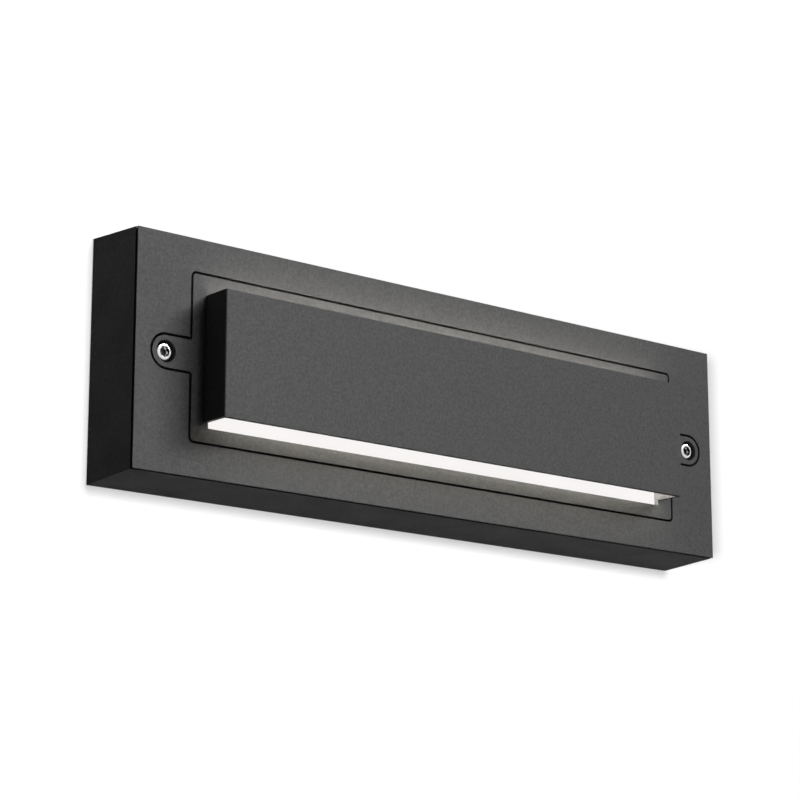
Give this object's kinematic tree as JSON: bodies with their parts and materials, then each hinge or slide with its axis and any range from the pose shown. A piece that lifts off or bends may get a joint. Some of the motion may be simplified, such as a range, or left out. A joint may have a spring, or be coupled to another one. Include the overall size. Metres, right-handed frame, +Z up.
{
  "type": "outdoor wall light",
  "caption": "Rectangular outdoor wall light with a flush screwed front cover, an open box hood and an opal diffuser that lights the wall above and below.",
  "frame": {"origin": "centre of the housing's flat back face, which lies on the wall", "axes": "+X along the light to the right, seen from the front; +Y into the wall; +Z up"},
  "size_m": [0.3292, 0.0465, 0.1038],
  "materials": {
    "powder_coat": "fine-grained matt graphite powder coat",
    "white_coat": "smooth matt white",
    "opal_diffuser": "satin opal, lit from behind",
    "rubber": "matt black",
    "stainless": "bright turned stainless steel",
    "zinc_steel": "bright zinc plate",
    "brass": "plain",
    "terminal_plastic": "moulded, off-white",
    "case_plastic": "moulded, light grey",
    "circuit_board": "green solder mask",
    "transformer": "dark ferrite and bobbin",
    "capacitor_can": "sleeved can",
    "thermal_pad": "matt grey silicone",
    "led_board": "white solder mask",
    "led_phosphor": "phosphor gel",
    "lead_brown": "extruded sleeve",
    "lead_blue": "extruded sleeve",
    "lead_green": "green and yellow extruded sleeve",
    "lead_red": "extruded sleeve"
  },
  "bodies": {
    "housing": {"housing": "powder_coat", "cable_grommet": "rubber", "spare_grommet": "rubber", "terminal_block": "terminal_plastic", "terminal_clamps": "brass", "terminal_screws": "zinc_steel", "block_screws": "zinc_steel", "earth_tag": "zinc_steel", "earth_screw": "zinc_steel", "driver_case": "case_plastic", "driver_lid": "case_plastic", "driver_board": "circuit_board", "driver_transformer": "transformer", "driver_capacitors": "capacitor_can", "driver_screws": "zinc_steel", "led_socket": "terminal_plastic", "live_lead": "lead_brown", "neutral_lead": "lead_blue", "earth_lead": "lead_green", "output_leads": "lead_red"},
    "light_unit": {"front_cover": "powder_coat", "cover_gasket": "rubber", "hood_reflector": "white_coat", "pane_gasket": "rubber", "diffuser": "opal_diffuser", "light_tray": "white_coat", "tray_screws": "zinc_steel", "thermal_pad": "thermal_pad", "led_board": "led_board", "leds": "led_phosphor", "board_screws": "zinc_steel", "led_plug": "terminal_plastic"},
    "left_seal": {"left_screw_seal": "rubber"},
    "right_seal": {"right_screw_seal": "rubber"},
    "left_screw": {"left_screw": "stainless"},
    "right_screw": {"right_screw": "stainless"}
  },
  "joints": [
    {"name": "light_unit_slide", "type": "slide", "parent": "housing", "child": "light_unit", "axis": [0, -1, 0], "range_m": [0, 0.06]},
    {"name": "left_screw_turn", "type": "hinge", "parent": "light_unit", "child": "left_seal", "pos_m": [-0.1491, -0.0278, 0], "axis": [0, -1, 0], "range_deg": [0, 4890]},
    {"name": "left_screw_lift", "type": "slide", "parent": "left_seal", "child": "left_screw", "axis": [0, -1, 0], "range_m": [0, 0.0095]},
    {"name": "right_screw_turn", "type": "hinge", "parent": "light_unit", "child": "right_seal", "pos_m": [0.1491, -0.0278, 0], "axis": [0, -1, 0], "range_deg": [0, 4890]},
    {"name": "right_screw_lift", "type": "slide", "parent": "right_seal", "child": "right_screw", "axis": [0, -1, 0], "range_m": [0, 0.0095]}
  ],
  "couplings": [
    {"joint": "left_screw_turn", "follows": "left_screw_lift", "rad_per_m": 8976},
    {"joint": "right_screw_turn", "follows": "right_screw_lift", "rad_per_m": 8976}
  ]
}
